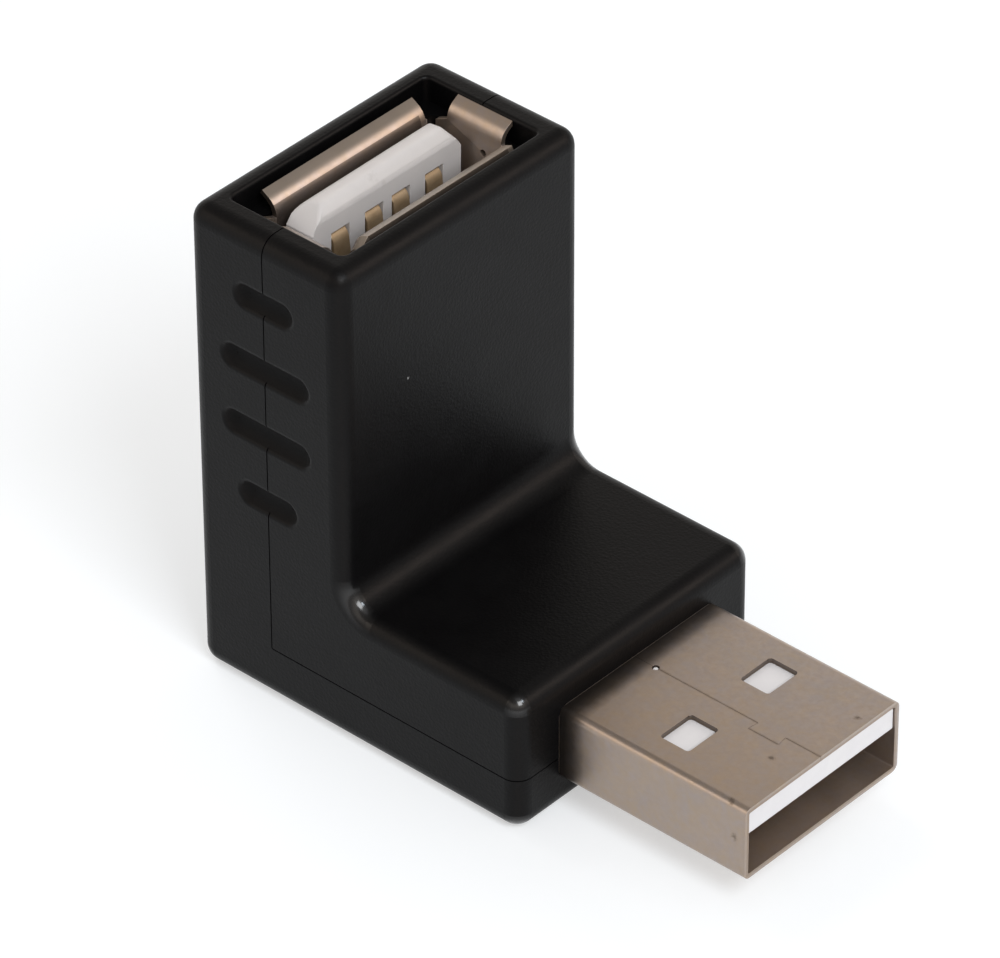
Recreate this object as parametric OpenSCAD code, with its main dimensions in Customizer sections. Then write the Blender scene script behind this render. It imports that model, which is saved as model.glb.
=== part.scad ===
// Right-angle connector adapter: a flat plug leaves the end of a short foot,
// and at a right angle to it a socket opens upward at the top of a stem.
// Lengths are in millimetres. X runs along the plug, Z points up.

/* [Housing] */
// Width of the housing, across both connectors
body_w = 18.2; // [17.6:0.1:26]
// Height from the underside to the socket's rim
body_h = 28.9; // [24:0.1:40]
// Thickness of the upright stem, front to back
stem_t = 10.5; // [10.2:0.1:15]
// Length of the foot, from the stem's back face to the plug
foot_l = 22.3; // [20:0.1:30]
// Thickness of the foot, underside to top
foot_t = 8.4; // [7.8:0.1:12]
// Wall of both shells
wall = 1.3; // [1.1:0.05:1.5]
// Wall at the end of the foot, round the plug
end_wall = 1.6; // [1.2:0.1:2]
// Radius of the outer edges
edge_r = 1.0; // [0.5:0.05:1.1]
// Radius of the hollow between stem and foot
hollow_r = 1.55; // [1:0.05:3]
// Thickness of the inner ribs
rib_t = 1.0; // [0.8:0.1:1.4]
// Height of the stem's rib above the foot
rib_rise = 6.0; // [4:0.1:6.5]
// Thickness of the ledge under the socket's mouth
ledge_t = 1.2; // [0.8:0.1:1.6]

/* [Parting line] */
// Distance of the upright seam from the stem's back face
seam_x = 5.25; // [4.5:0.05:6]
// Height of the level seam above the underside
seam_z = 3.3; // [2.6:0.05:3.8]
// Width of the groove that the seam shows outside
seam_gap = 0.07; // [0.04:0.01:0.2]
// Depth of that groove
seam_depth = 0.15; // [0.1:0.05:0.4]
// Thickness of the lip that laps the joint inside
lap_t = 0.6; // [0.4:0.05:0.7]
// Height of that lip
lap_h = 0.8; // [0.5:0.05:1.2]

/* [Grip grooves] */
// Distance between neighbouring grooves
groove_pitch = 4.1; // [3:0.1:4.6]
// Distance of the top groove below the rim
groove_drop = 3.95; // [3.4:0.05:5]
// Length of the two outer grooves
groove_short = 4.3; // [3:0.1:6]
// Length of the two inner grooves
groove_long = 6.3; // [4:0.1:8]
// Width of a groove between its rolled rims
groove_w = 1.8; // [1.4:0.1:2.2]
// Depth of a groove
groove_depth = 0.45; // [0.2:0.05:0.6]
// Radius of a groove's rolled rims
groove_rim_r = 0.3; // [0.1:0.05:0.4]

/* [Plug] */
// Width of the plug's metal sleeve
plug_w = 12.0; // [11:0.1:14.4]
// Height of the plug's metal sleeve
plug_h = 4.5; // [4.2:0.1:5]
// Length of the plug outside the housing
plug_reach = 12.3; // [11.75:0.05:15]
// Length of the sleeve inside the housing
plug_inside = 6.0; // [5:0.1:7]
// Outer corner radius of the sleeve
plug_corner_r = 0.6; // [0.4:0.05:0.8]
// Depth of the open space behind the plug's mouth
plug_void = 11.9; // [9:0.1:12.2]
// Distance of the latch windows from the plug's mouth
window_front = 5.2; // [4:0.1:6]
// Length of a latch window along the plug
window_l = 1.9; // [1.5:0.1:2.6]
// Width of a latch window
window_w = 2.4; // [1.8:0.1:2.6]
// Distance between the middles of the two windows
window_pitch = 6.2; // [5.6:0.1:6.6]
// Corner radius of a latch window
window_corner_r = 0.2; // [0.1:0.05:0.4]
// Distance of the sleeve's seam from its middle line
fold_off = 0.2; // [0:0.05:0.5]
// Width of the gap that the seam leaves
fold_gap = 0.03; // [0.02:0.01:0.1]
// Diameter of the small hole in the seam
fold_hole_d = 0.4; // [0.2:0.05:0.6]
// Distance of that hole from the housing
fold_hole_out = 1.4; // [1:0.1:3]
// Distance of the dovetail's middle from the plug's mouth
dovetail_front = 3.2; // [2.6:0.1:4]
// Width of the dovetail at its root
dovetail_root = 1.8; // [1.4:0.1:2.2]
// Width of the dovetail at its end
dovetail_end = 2.0; // [1.6:0.1:2.6]
// Reach of the dovetail across the seam
dovetail_reach = 0.65; // [0.4:0.05:0.9]
// Length of the solder tabs behind the sleeve
tab_l = 2.4; // [2:0.1:3]
// Height of the solder tabs
tab_h = 2.0; // [1.6:0.1:2.4]
// Reach of the ears that hold the sleeve in the housing
ear_reach = 0.9; // [0.6:0.1:1.2]
// Height of the ears
ear_h = 1.4; // [1:0.1:2]
// Distance of the insulator's end from the plug's mouth
insulator_recess = 0.1; // [0.1:0.05:0.6]
// Height of the lead-in cut under the insulator's front edge
nose_cut_h = 0.55; // [0.3:0.05:0.8]
// Length of that cut along the plug
nose_cut_l = 0.6; // [0.4:0.05:0.9]

/* [Socket] */
// Width of the socket's opening
open_w = 12.5; // [12.4:0.1:14]
// Height of the socket's opening, front to back
open_t = 5.12; // [5.0:0.02:5.6]
// Outer corner radius of the socket's sleeve
sleeve_corner_r = 0.6; // [0.4:0.05:0.8]
// Depth of the socket from the housing's rim to its floor
socket_depth = 12.6; // [11:0.1:14]
// Width of the tongue in the socket
tongue_w = 11.1; // [10.6:0.1:11.6]
// Thickness of the tongue
tongue_t = 1.84; // [1.7:0.02:2]
// Gap between the tongue and the back of the sleeve
tongue_gap = 0.64; // [0.5:0.02:0.8]
// Distance of the tongue's tip below the rim
tongue_drop = 0.7; // [0.6:0.1:3]
// Cut of the tongue's tip at its two ends, across the tongue
tongue_cut_w = 1.0; // [0.3:0.1:1.4]
// Height of that cut
tongue_cut_h = 1.1; // [0.3:0.1:1.4]
// Cut along the tongue's tip, front and back
tongue_edge = 0.25; // [0.1:0.05:0.4]
// Size of the mouth recess along the stem's thickness
mouth_l = 7.75; // [7.5:0.05:7.8]
// Size of the mouth recess along the housing's width
mouth_w = 14.65; // [14.6:0.05:15]
// Depth of the mouth recess
mouth_depth = 1.5; // [1.45:0.05:2]
// Corner radius of the mouth recess
mouth_corner_r = 0.4; // [0.2:0.05:0.8]
// Radius of the rolled edge round the mouth
mouth_rim_r = 0.2; // [0.1:0.05:0.3]
// Bend radius of the flared lips
bend_r = 1.0; // [0.6:0.05:1.1]
// Angle through which the lips are bent outward
lip_turn = 60; // [45:1:70]
// Straight part of each lip beyond its bend
lip_straight = 0.42; // [0.3:0.02:0.46]
// Length of the two long lips
lip_long = 11.5; // [9:0.1:11.8]
// Length of the two short lips
lip_short = 4.1; // [2.5:0.1:4.4]
// Distance of the lips' edge below the rim
lip_drop = 0.35; // [0.1:0.05:0.4]
// Depth of the notches in the sleeve's corners, between the lips
corner_notch = 0.6; // [0.3:0.05:1]
// Length of the spring tongues cut from the sleeve
spring_l = 4.6; // [3.6:0.1:5.4]
// Width of the spring tongues
spring_w = 1.5; // [1:0.1:1.8]
// How far a spring tongue leans into the opening
spring_in = 0.4; // [0.2:0.05:0.5]
// Distance of a spring tongue's crest from its free end
spring_end = 0.92; // [0.6:0.02:1.2]
// How far the free end turns back from the crest
spring_turn_back = 0.25; // [0.1:0.05:0.3]
// Distance of the spring tongues' roots below the lips
spring_drop = 1.6; // [1.2:0.1:3]
// Slit round the spring tongues
spring_slit = 0.25; // [0.15:0.05:0.4]
// Diameter of the small hole in the sleeve's narrow sides
side_hole_d = 0.36; // [0.2:0.02:0.6]
// Distance of that hole from the middle of the opening
side_hole_off = 1.0; // [0.5:0.1:1.5]
// Distance of that hole below the rim
side_hole_drop = 2.05; // [1.9:0.05:3]

/* [Contacts and board] */
// Thickness of the folded sleeves
sheet = 0.3; // [0.25:0.01:0.36]
// Width of a contact
contact_w = 1.15; // [0.8:0.05:1.2]
// Thickness of a contact
contact_t = 0.25; // [0.2:0.01:0.3]
// Distance of the two inner contacts from the middle line
inner_contact_y = 1.0; // [0.9:0.05:1.1]
// Distance of the two outer contacts from the middle line
outer_contact_y = 3.5; // [3.3:0.05:3.7]
// How far the plug's contacts stand out of their insulator
contact_proud = 0.1; // [0.05:0.01:0.12]
// Distance of the plug's outer contacts from its mouth
contact_front = 1.6; // [1.2:0.1:2.4]
// How much shorter the plug's inner contacts are
contact_step = 1.0; // [0.5:0.1:1.5]
// Length of the plug contacts' tails on the board
tail_l = 1.8; // [1.2:0.1:2.2]
// Depth of the contact slots in the socket's tongue
slot_depth = 0.9; // [0.7:0.05:1]
// Distance of the slots' upper ends from the tongue's tip
slot_drop = 1.45; // [1.2:0.05:2]
// How far the socket's contacts bow out of the tongue
contact_bow = 0.35; // [0.2:0.05:0.5]
// Distance of the bow's crest from the tongue's tip
crest_drop = 5.0; // [4:0.1:6]
// Straight part of a socket contact above the socket's floor
blade_root = 2.0; // [1:0.1:3]
// How far the socket's contacts stand out of the tongue where their tips turn in
contact_knee = 0.05; // [0:0.01:0.1]
// Bend radius of those tips
tip_r = 0.8; // [0.6:0.05:1]
// Angle through which the tips turn in
tip_turn = 55; // [40:1:60]
// Width of the socket contacts' pins
pin_w = 0.6; // [0.4:0.05:0.7]
// Length of the pins and legs below the board
pin_below = 1.0; // [0.7:0.05:1.1]
// Diameter of the board's pin holes
pin_hole_d = 0.9; // [0.8:0.05:1]
// Width of the legs that hold the socket's sleeve to the board
leg_w = 2.0; // [1.5:0.1:2.6]
// Thickness of the board
board_t = 1.0; // [0.8:0.1:1.2]
// Height of a solder cone below the board
solder_h = 0.6; // [0.4:0.05:0.7]
// Foot diameter of a solder joint
solder_d = 1.5; // [1.2:0.05:1.7]
// Wall of a solder cone at its tip
solder_tip = 0.12; // [0.08:0.01:0.2]

/* [Fits] */
// Gap between a sleeve and the housing
sleeve_fit = 0.05; // [0.03:0.01:0.1]
// Gap between an insulator and its sleeve
insulator_fit = 0.03; // [0.02:0.01:0.05]
// Gap between a contact and its insulator
contact_fit = 0.02; // [0.01:0.01:0.04]
// Gap beside a contact in the tongue's slot
slot_side = 0.1; // [0.08:0.01:0.2]
// Gap between the board and the pieces round it
board_fit = 0.2; // [0.1:0.05:0.3]
// Gap between the lapped lip and the other shell
lap_fit = 0.05; // [0.03:0.01:0.1]

/* [Hidden] */
$fn = 64;

// Overshoot of a cutting shape past the surface that it opens
past = 1;
total_l = foot_l + plug_reach;
half_w = body_w / 2;
inner_w = half_w - wall;
stem_mid = stem_t / 2;

// Housing: ledge under the mouth recess and rib halfway down the stem
ledge_top = body_h - mouth_depth;
stem_rib_z = foot_t + rib_rise;

// Plug: all heights are taken from the foot's middle
plug_z = foot_t / 2;
plug_front = foot_l + plug_reach;
plug_back = foot_l - plug_inside;
plug_in_w = plug_w - 2 * sheet;
plug_in_h = plug_h - 2 * sheet;
fold_hole_x = foot_l + fold_hole_out;

// Board: its top carries the tails of the plug's contacts
board_top = plug_z - contact_proud;
board_bottom = board_top - board_t;
board_back = wall + board_fit;
board_shoulder = plug_back - tab_l - board_fit;
board_front = plug_back - board_fit;

// Socket: the sleeve stands on the board, the lips end just below the rim
sleeve_w = open_w + 2 * sheet;
sleeve_t = open_t + 2 * sheet;
lip_z = body_h - lip_drop - bend_r * sin(lip_turn) - lip_straight * cos(lip_turn);
spring_z = lip_z - spring_drop;
side_hole_x = stem_mid + side_hole_off;
side_hole_z = body_h - side_hole_drop;
socket_floor = body_h - socket_depth;
tongue_back = stem_mid - open_t / 2 + tongue_gap;
tongue_front = tongue_back + tongue_t;
tongue_tip = body_h - tongue_drop;
slot_top = tongue_tip - slot_drop;
contact_x = tongue_front - slot_depth + contact_fit;
contact_ys = [-outer_contact_y, -inner_contact_y, inner_contact_y, outer_contact_y];
crest_z = tongue_tip - crest_drop;
leg_y = open_w / 2;
leg_room = leg_w / 2 + solder_d;

plastic_black = [0.11, 0.105, 0.105];
nickel = [0.65, 0.59, 0.54];
insulator_white = [0.92, 0.91, 0.92];
contact_brass = [0.74, 0.6, 0.4];
board_green = [0.1, 0.35, 0.2];
solder_grey = [0.72, 0.73, 0.74];

// Moves the model so that its origin lies under the middle of its outline
module placed() {
    translate([-total_l / 2, 0, 0]) children();
}

// Box between two opposite corners
module span(low, high) {
    translate(low) cube(high - low);
}

module both_sides() {
    children();
    mirror([0, 1, 0]) children();
}

module along_x(l) {
    rotate([90, 0, 90]) linear_extrude(l, center = true) children();
}

module along_y(l) {
    rotate([90, 0, 0]) linear_extrude(l, center = true) children();
}

// Rectangle round the origin with rounded corners
module rounded_rect(size, r) {
    square([size.x - 2 * r, size.y], center = true);
    square([size.x, size.y - 2 * r], center = true);
    for (i = [-1, 1], j = [-1, 1])
        translate([i * (size.x / 2 - r), j * (size.y / 2 - r)]) circle(r);
}

// Wall of a folded sleeve, seen along its length
module sleeve_outline(size, r) {
    difference() {
        rounded_rect(size, r);
        rounded_rect([size.x - 2 * sheet, size.y - 2 * sheet], r - sheet);
    }
}

// Turns the meeting point of three rounded edges into a ball corner
module corner_cut(toward, r) {
    difference() {
        translate(-toward * r / 2) cube(r, center = true);
        translate(-toward * r) sphere(r);
    }
}

// Block round the origin with every edge rounded
module rounded_block(size, r) {
    difference() {
        intersection() {
            linear_extrude(size.z, center = true) rounded_rect([size.x, size.y], r);
            along_y(size.y) rounded_rect([size.x, size.z], r);
            along_x(size.x) rounded_rect([size.y, size.z], r);
        }
        for (i = [-1, 1], j = [-1, 1], k = [-1, 1])
            translate([i * size.x, j * size.y, k * size.z] / 2) corner_cut([i, j, k], r);
    }
}

// Fillet in the inner corner of the L, rounded over at both sides like the edges it joins
module hollow_fillet() {
    ring = 2 * (hollow_r + 2 * edge_r);
    intersection() {
        span([stem_t - edge_r, -half_w, foot_t - edge_r], [stem_t + hollow_r, half_w, foot_t + hollow_r]);
        translate([stem_t + hollow_r, 0, foot_t + hollow_r]) rotate([90, 0, 0])
            rotate_extrude() translate([hollow_r + ring / 2, 0]) rounded_rect([ring, body_w], edge_r);
    }
}

module housing_block() {
    translate([stem_t, 0, body_h] / 2) rounded_block([stem_t, body_w, body_h], edge_r);
    translate([foot_l, 0, foot_t] / 2) rounded_block([foot_l, body_w, foot_t], edge_r);
    hollow_fillet();
}

module plug_window() {
    translate([foot_l, 0, plug_z]) along_x(2 * plug_inside)
        rounded_rect([plug_w, plug_h] + 2 * [sleeve_fit, sleeve_fit], plug_corner_r + sleeve_fit);
}

module socket_window() {
    translate([stem_mid, 0, board_top]) linear_extrude(body_h)
        rounded_rect([sleeve_t, sleeve_w] + 2 * [sleeve_fit, sleeve_fit], sleeve_corner_r + sleeve_fit);
}

module mouth() {
    translate([stem_mid, 0, ledge_top]) linear_extrude(mouth_depth + past)
        rounded_rect([mouth_l, mouth_w], mouth_corner_r);
    translate([stem_mid, 0, body_h]) mouth_rim();
}

// What the rolled edge takes off, seen along the edge, with the recess to the left
module rim_outline() {
    difference() {
        translate([0, -mouth_rim_r]) square(mouth_rim_r);
        translate([mouth_rim_r, -mouth_rim_r]) circle(mouth_rim_r);
    }
}

// The same all round the mouth: along its four sides and round its four corners
module mouth_rim() {
    side_l = mouth_l - 2 * mouth_corner_r;
    side_w = mouth_w - 2 * mouth_corner_r;
    for (turn = [0, 180]) rotate(turn) {
        translate([mouth_l / 2, 0, 0]) along_y(side_w) rim_outline();
        rotate(90) translate([mouth_w / 2, 0, 0]) along_y(side_l) rim_outline();
    }
    for (i = [-1, 1], j = [-1, 1]) translate([i * side_l / 2, j * side_w / 2, 0])
        rotate_extrude() translate([mouth_corner_r, 0]) rim_outline();
}

// Plates inside the shells that grip the two sleeves
module ribs() {
    ear_stop = plug_back - sleeve_fit;
    ear_front = plug_back + sheet + sleeve_fit;
    span([0, -half_w, stem_rib_z], [stem_t, half_w, stem_rib_z + rib_t]);
    span([ear_front, -half_w, 0], [ear_front + rib_t, half_w, foot_t]);
    both_sides()
        span([ear_stop - rib_t, plug_w / 2 + board_fit, 0], [ear_stop, half_w, foot_t]);
}

// Rails on the rear shell that carry the board, clear of the solder round the socket's legs
module board_rails() {
    both_sides() {
        span([0, inner_w - rib_t, 0], [stem_mid - leg_room, inner_w, board_bottom]);
        span([stem_mid + leg_room, inner_w - rib_t, 0], [board_shoulder, inner_w, board_bottom]);
    }
}

// Room for the ears of the plug's sleeve between two ribs
module ear_pockets() {
    gap = [sleeve_fit, sleeve_fit, sleeve_fit];
    both_sides()
        span([plug_back, 0, plug_z] - gap,
             [plug_back + sheet, plug_w / 2 + ear_reach, plug_z + ear_h] + gap);
}

module cavity() {
    ear_pockets();
    difference() {
        union() {
            span([wall, -inner_w, wall], [stem_t - wall, inner_w, ledge_top - ledge_t]);
            span([wall, -inner_w, wall], [foot_l - end_wall, inner_w, foot_t - wall]);
        }
        ribs();
    }
}

// Shallow groove where the two shells meet, all round the outside
module seam_groove() {
    inset = edge_r - seam_depth;
    translate([seam_x, 0, 0]) along_x(seam_gap) difference() {
        translate([-body_w, seam_z]) square([2 * body_w, body_h]);
        translate([0, body_h / 2]) rounded_rect([body_w, body_h] - 2 * [seam_depth, seam_depth], inset);
    }
    translate([0, 0, seam_z]) linear_extrude(seam_gap, center = true) difference() {
        translate([seam_x, -body_w]) square([foot_l, 2 * body_w]);
        translate([foot_l / 2, 0]) rounded_rect([foot_l, body_w] - 2 * [seam_depth, seam_depth], inset);
    }
}

// Half of a groove seen along its length, from its middle to one rim: a scoop that rolls over into the wall
module groove_outline() {
    half = groove_w / 2;
    centres = (half * half + groove_depth * groove_depth) / (2 * groove_depth);
    scoop_r = centres - groove_rim_r;
    meet = groove_rim_r * groove_depth / centres;
    difference() {
        translate([0, -meet]) square([half, meet + past]);
        translate([half, -groove_rim_r]) circle(groove_rim_r);
    }
    intersection() {
        translate([0, scoop_r - groove_depth]) circle(scoop_r);
        translate([0, -groove_depth]) square([half, groove_depth]);
    }
}

// Scooped finger grips on both sides of the stem
module grip_grooves() {
    lengths = [groove_short, groove_long, groove_long, groove_short];
    both_sides() for (i = [0:3]) {
        straight = lengths[i] - groove_w;
        translate([stem_mid, half_w, body_h - groove_drop - i * groove_pitch]) rotate([-90, 0, 0]) {
            for (s = [-1, 1]) {
                translate([s * straight / 2, 0, 0]) rotate_extrude() groove_outline();
                rotate([0, 0, s * 90]) along_y(straight) groove_outline();
            }
        }
    }
}

// Everything behind the upright seam or below the level one
module rear_side() {
    span([-past, -body_w, -past], [seam_x, body_w, body_h + past]);
    span([-past, -body_w, -past], [foot_l + past, body_w, seam_z]);
}

// Lips on the rear shell that reach into the front shell along both side walls
module lap_lips(room) {
    both_sides() {
        span([seam_x - lap_t, inner_w - room, seam_z - lap_t],
             [seam_x + lap_h + room, inner_w + lap_t + room, ledge_top - ledge_t - lap_h + room]);
        span([seam_x - lap_t, inner_w - room, seam_z - lap_t],
             [foot_l - end_wall + room, inner_w + lap_t + room, seam_z + lap_h + room]);
    }
}

module shells() {
    difference() {
        housing_block();
        cavity();
        socket_window();
        mouth();
        plug_window();
        seam_groove();
        grip_grooves();
    }
}

module rear_shell() {
    color(plastic_black) placed() {
        intersection() {
            shells();
            rear_side();
        }
        lap_lips(0);
        intersection() {
            cavity();
            board_rails();
        }
    }
}

module front_shell() {
    color(plastic_black) placed() difference() {
        shells();
        rear_side();
        lap_lips(lap_fit);
    }
}

// Cut along a bent line, as wide as the gap that a butted sheet leaves
module bent_slit(points, gap) {
    for (i = [0:len(points) - 2]) {
        run = points[i + 1] - points[i];
        translate(points[i]) rotate(atan2(run.y, run.x)) translate([0, -gap / 2]) square([norm(run), gap]);
        translate(points[i]) circle(gap / 2);
    }
}

// Seam on top of the plug's sleeve: straight, with one dovetail near the mouth
module plug_fold() {
    middle = plug_front - dovetail_front;
    tail_y = -fold_off - dovetail_reach;
    bent_slit([
        [plug_back - past, -fold_off],
        [middle - dovetail_root / 2, -fold_off],
        [middle - dovetail_end / 2, tail_y],
        [middle + dovetail_end / 2, tail_y],
        [middle + dovetail_root / 2, -fold_off],
        [plug_front + past, -fold_off],
    ], fold_gap);
    translate([fold_hole_x, -fold_off]) circle(d = fold_hole_d);
}

module plug_windows() {
    for (s = [-1, 1])
        translate([plug_front - window_front - window_l / 2, s * window_pitch / 2])
            rounded_rect([window_l, window_w], window_corner_r);
}

// Folded sheet sleeve of the plug, with ears and solder tabs bent from its rear edge
module plug_shield() {
    color(nickel) placed() {
        difference() {
            translate([(plug_front + plug_back) / 2, 0, plug_z]) along_x(plug_front - plug_back)
                sleeve_outline([plug_w, plug_h], plug_corner_r);
            translate([0, 0, plug_z]) linear_extrude(plug_h) plug_fold();
            translate([0, 0, plug_z - plug_h]) linear_extrude(2 * plug_h) plug_windows();
        }
        both_sides() {
            span([plug_back, plug_w / 2 - sheet, plug_z],
                 [plug_back + sheet, plug_w / 2 + ear_reach, plug_z + ear_h]);
            span([plug_back - tab_l, plug_w / 2 - sheet, plug_z - tab_h / 2 - board_t / 2],
                 [plug_back + sheet, plug_w / 2, plug_z + tab_h / 2 - board_t / 2]);
        }
    }
}

// Moulded insert of the plug: a full block in the housing and a half-height shelf above the void
module plug_insulator() {
    block_front = plug_front - plug_void;
    size = [plug_in_w, plug_in_h] - 2 * [insulator_fit, insulator_fit];
    corner_r = plug_corner_r - sheet - insulator_fit;
    color(insulator_white) placed() difference() {
        translate([0, 0, plug_z]) intersection() {
            translate([(plug_front + plug_back) / 2, 0, 0])
                along_x(plug_front - plug_back) rounded_rect(size, corner_r);
            union() {
                span([plug_back, -plug_w, -plug_h], [block_front, plug_w, plug_h]);
                span([plug_back, -plug_w, 0], [plug_front - insulator_recess, plug_w, plug_h]);
            }
        }
        for (i = [0:3]) plug_contact_form(i, contact_fit);
        translate([plug_front - insulator_recess, 0, plug_z]) along_y(plug_w)
            polygon([[past, -past], [past, nose_cut_h], [0, nose_cut_h], [-nose_cut_l, 0], [-nose_cut_l, -past]]);
    }
}

// One flat contact of the plug, or with some room added the slot that it lies in
module plug_contact_form(i, room) {
    outer = i == 0 || i == 3;
    front = plug_front - contact_front - (outer ? 0 : contact_step);
    half = contact_w / 2 + room;
    span([plug_back - tail_l - room, contact_ys[i] - half, board_top - room],
         [front + room, contact_ys[i] + half, board_top + contact_t + room]);
}

module plug_contact(i) {
    color(contact_brass) placed() plug_contact_form(i, 0);
}

// Puts a shape on one wall of the socket: 0 back, 90 right, 180 front, 270 left,
// with X pointing into the opening
module on_wall(turn, reach) {
    translate([stem_mid, 0, 0]) rotate([0, 0, turn]) translate([-reach, 0, 0]) children();
}

// Bend in a sheet, from its outer face at X = 0 round to the left
module bend_outline(r, t, turn) {
    far = 2 * r;
    half = turn / 2;
    translate([-r, 0]) intersection() {
        difference() {
            circle(r);
            circle(r - t);
        }
        polygon([
            [0, 0], [far, 0], [far * cos(half), far * sin(half)], [far * cos(turn), far * sin(turn)],
        ]);
    }
}

// Lip seen along its length: a bend and a short straight edge
module lip_outline() {
    bend_outline(bend_r, sheet, lip_turn);
    translate([-bend_r, 0]) rotate(lip_turn) translate([bend_r - sheet, 0]) square([sheet, lip_straight]);
}

// Spring tongue seen from its side: it leans in to a crest and turns back at its free end
module spring_outline() {
    crest = spring_end - spring_l;
    end_in = spring_in - spring_turn_back;
    polygon([
        [-sheet, 0], [0, 0], [spring_in, crest], [end_in, -spring_l],
        [end_in - sheet, -spring_l], [spring_in - sheet, crest],
    ]);
}

// Folded sheet sleeve of the socket, butted down the middle of its back, with flared lips,
// spring tongues and legs
module socket_shield() {
    color(nickel) placed() {
        difference() {
            translate([stem_mid, 0, board_top]) linear_extrude(lip_z - board_top)
                sleeve_outline([sleeve_t, sleeve_w], sleeve_corner_r);
            for (turn = [0, 180], s = [-1, 1]) on_wall(turn, open_t / 2)
                translate([0, s * window_pitch / 2, spring_z - (spring_l + spring_slit) / 2])
                    cube([3 * sheet, spring_w + 2 * spring_slit, spring_l + spring_slit], center = true);
            on_wall(0, open_t / 2) span([-past, -fold_gap / 2, 0], [past / 2, fold_gap / 2, body_h]);
            for (i = [-1, 1], j = [-1, 1])
                translate([stem_mid + i * sleeve_t / 2, j * sleeve_w / 2, lip_z])
                    cube(2 * [sleeve_corner_r, sleeve_corner_r, corner_notch], center = true);
            translate([side_hole_x, 0, side_hole_z])
                rotate([90, 0, 0]) cylinder(d = side_hole_d, h = body_w, center = true);
        }
        for (turn = [0, 180], s = [-1, 1]) on_wall(turn, open_t / 2)
            translate([0, s * window_pitch / 2, spring_z]) along_y(spring_w) spring_outline();
        for (turn = [0, 180]) on_wall(turn, open_t / 2)
            translate([0, 0, lip_z]) along_y(lip_long) lip_outline();
        for (turn = [90, 270]) on_wall(turn, open_w / 2)
            translate([0, 0, lip_z]) along_y(lip_short) lip_outline();
        both_sides()
            span([stem_mid - leg_w / 2, leg_y, board_bottom - pin_below],
                 [stem_mid + leg_w / 2, leg_y + sheet, board_top]);
    }
}

// Tongue of the socket with its tip cut at the ends and its edges broken
module tongue() {
    rise = tongue_tip - socket_floor;
    half = tongue_w / 2;
    intersection() {
        translate([tongue_back + tongue_t / 2, 0, socket_floor]) along_x(tongue_t) polygon([
            [-half, -past], [half, -past], [half, rise - tongue_cut_h], [half - tongue_cut_w, rise],
            [tongue_cut_w - half, rise], [-half, rise - tongue_cut_h],
        ]);
        translate([tongue_back, 0, socket_floor]) along_y(tongue_w) polygon([
            [0, -past], [tongue_t, -past], [tongue_t, rise - tongue_edge], [tongue_t - tongue_edge, rise],
            [tongue_edge, rise], [0, rise - tongue_edge],
        ]);
    }
}

// Moulded insert of the socket: a base block on the board and the tongue above it
module socket_insulator() {
    slot_half = contact_w / 2 + slot_side;
    lead_half = contact_w / 2 + contact_fit;
    color(insulator_white) placed() difference() {
        union() {
            translate([stem_mid, 0, board_top]) linear_extrude(socket_floor - board_top)
                rounded_rect([open_t, open_w] - 2 * [insulator_fit, insulator_fit],
                             sleeve_corner_r - sheet - insulator_fit);
            tongue();
        }
        for (y = contact_ys) {
            span([tongue_front - slot_depth, y - slot_half, socket_floor],
                 [tongue_front + past, y + slot_half, slot_top]);
            span([contact_x - contact_fit, y - lead_half, board_top - past],
                 [contact_x + contact_t + contact_fit, y + lead_half, socket_floor + past]);
        }
    }
}

// One sprung contact of the socket: pin, lead through the base and bowed blade with its tip turned in
module socket_contact(i) {
    bow = slot_depth + contact_bow - contact_t;
    knee = slot_depth + contact_knee - contact_t;
    straight_top = socket_floor + blade_root;
    knee_z = slot_top - slot_side - tip_r * sin(tip_turn);
    color(contact_brass) placed() translate([contact_x, contact_ys[i], 0]) {
        along_y(contact_w) {
            polygon([
                [0, board_top], [0, straight_top], [bow, crest_z], [knee, knee_z],
                [knee + contact_t, knee_z], [bow + contact_t, crest_z],
                [contact_t, straight_top], [contact_t, board_top],
            ]);
            translate([knee + contact_t, knee_z]) bend_outline(tip_r, contact_t, tip_turn);
        }
        span([0, -pin_w / 2, board_bottom - pin_below], [contact_t, pin_w / 2, board_top]);
    }
}

// Board that joins the two connectors, stepped in between the plug's solder tabs
module circuit_board() {
    half = inner_w - board_fit;
    nose = plug_in_w / 2 - board_fit;
    color(board_green) placed() difference() {
        union() {
            span([board_back, -half, board_bottom], [board_shoulder, half, board_top]);
            span([board_back, -nose, board_bottom], [board_front, nose, board_top]);
        }
        for (y = contact_ys) translate([contact_x + contact_t / 2, y, board_bottom - past])
            cylinder(d = pin_hole_d, h = board_t + 2 * past);
        both_sides()
            span([stem_mid - leg_w / 2 - board_fit, leg_y - board_fit, board_bottom - past],
                 [stem_mid + leg_w / 2 + board_fit, leg_y + sheet + board_fit, board_top + past]);
    }
}

// Domes of solder over the tails of the plug's contacts
module plug_tail_solder() {
    color(solder_grey) placed() for (i = [0:3]) difference() {
        translate([plug_back - tail_l / 2 - board_fit, contact_ys[i], board_top])
            rotate([0, 90, 0]) cylinder(d = solder_d, h = tail_l - 2 * board_fit, center = true);
        span([0, -half_w, 0], [foot_l, half_w, board_top]);
        plug_contact_form(i, 0);
    }
}

// Fillets of solder between the sleeve's tabs and the top of the board
module plug_tab_solder() {
    edge = plug_in_w / 2;
    color(solder_grey) placed() both_sides() difference() {
        translate([plug_back - tab_l / 2 - board_fit, edge, board_top])
            rotate([0, 90, 0]) cylinder(d = solder_d, h = tab_l - 4 * board_fit, center = true);
        span([0, edge, 0], [foot_l, half_w, foot_t]);
        span([0, 0, 0], [foot_l, half_w, board_top]);
    }
}

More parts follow.
